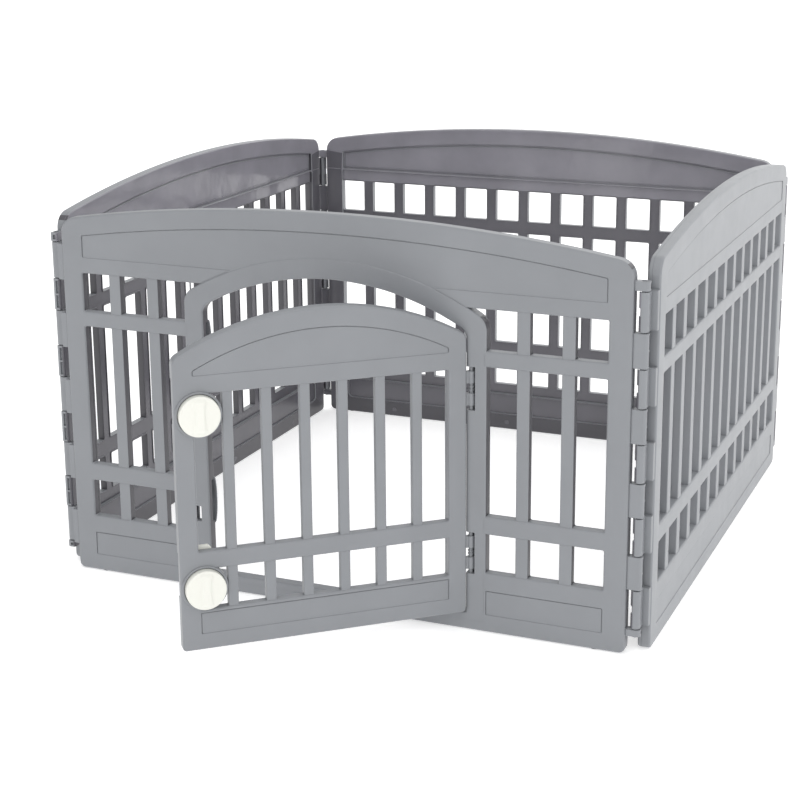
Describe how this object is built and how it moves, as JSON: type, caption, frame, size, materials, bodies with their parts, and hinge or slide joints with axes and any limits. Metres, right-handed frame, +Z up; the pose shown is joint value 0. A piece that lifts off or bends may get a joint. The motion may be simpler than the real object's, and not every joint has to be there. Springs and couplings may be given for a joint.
{
  "type": "pet playpen",
  "caption": "Folding pet playpen of arched grid panels pinned at the corners on upright rods, with an arched swing door held by quarter-turn latches.",
  "frame": {"origin": "centre of the bounding box on the ground, with the door open as modelled", "axes": "+Z up, -Y out through the doorway, +X towards the door's hinge side"},
  "size_m": [0.9304, 1.206, 0.586],
  "materials": {
    "grey_plastic": "satin moulded",
    "ivory_plastic": "smooth satin",
    "steel": "plain",
    "dark_rubber": "matt"
  },
  "bodies": {
    "front_panel": {"front_panel": "grey_plastic", "front_foot_clip_end": "dark_rubber", "front_foot_tab_end": "dark_rubber", "corner_rod_front_right": "grey_plastic"},
    "right_panel": {"right_panel": "grey_plastic", "right_foot_clip_end": "dark_rubber", "right_foot_tab_end": "dark_rubber", "corner_rod_back_right": "grey_plastic"},
    "back_panel": {"back_panel": "grey_plastic", "back_foot_clip_end": "dark_rubber", "back_foot_tab_end": "dark_rubber", "corner_rod_back_left": "grey_plastic"},
    "left_panel": {"left_panel": "grey_plastic", "left_foot_clip_end": "dark_rubber", "left_foot_tab_end": "dark_rubber", "corner_rod_front_left": "grey_plastic"},
    "door": {"door": "grey_plastic", "door_hinge_pin_upper": "grey_plastic", "door_hinge_pin_lower": "grey_plastic"},
    "upper_latch": {"upper_knob": "ivory_plastic", "upper_latch_tongue": "ivory_plastic", "upper_latch_screw": "steel"},
    "lower_latch": {"lower_knob": "ivory_plastic", "lower_latch_tongue": "ivory_plastic", "lower_latch_screw": "steel"}
  },
  "joints": [
    {"name": "right_panel_fold", "type": "hinge", "parent": "front_panel", "child": "right_panel", "pos_m": [0.44875, -0.32004, 0.291], "axis": [0, 0, 1], "range_deg": [-50, 50]},
    {"name": "back_panel_fold", "type": "hinge", "parent": "right_panel", "child": "back_panel", "pos_m": [0.45775, 0.58646, 0.291], "axis": [0, 0, 1], "range_deg": [-50, 50]},
    {"name": "left_panel_fold", "type": "hinge", "parent": "front_panel", "child": "left_panel", "pos_m": [-0.45775, -0.31104, 0.291], "axis": [0, 0, 1], "range_deg": [-50, 50]},
    {"name": "door_hinge", "type": "hinge", "parent": "front_panel", "child": "door", "pos_m": [0.20875, -0.32204, 0.237], "axis": [0, 0, 1], "range_deg": [-41, 59]},
    {"name": "upper_knob_turn", "type": "hinge", "parent": "door", "child": "upper_latch", "pos_m": [-0.07443, -0.57549, 0.3585], "axis": [0.6561, -0.7547, 0], "range_deg": [0, 90]},
    {"name": "lower_knob_turn", "type": "hinge", "parent": "door", "child": "lower_latch", "pos_m": [-0.07443, -0.57549, 0.1175], "axis": [0.6561, -0.7547, 0], "range_deg": [0, 90]}
  ],
  "couplings": [
    {"joint": "back_panel_fold", "follows": "right_panel_fold", "ratio": -1},
    {"joint": "left_panel_fold", "follows": "right_panel_fold", "ratio": 1}
  ]
}
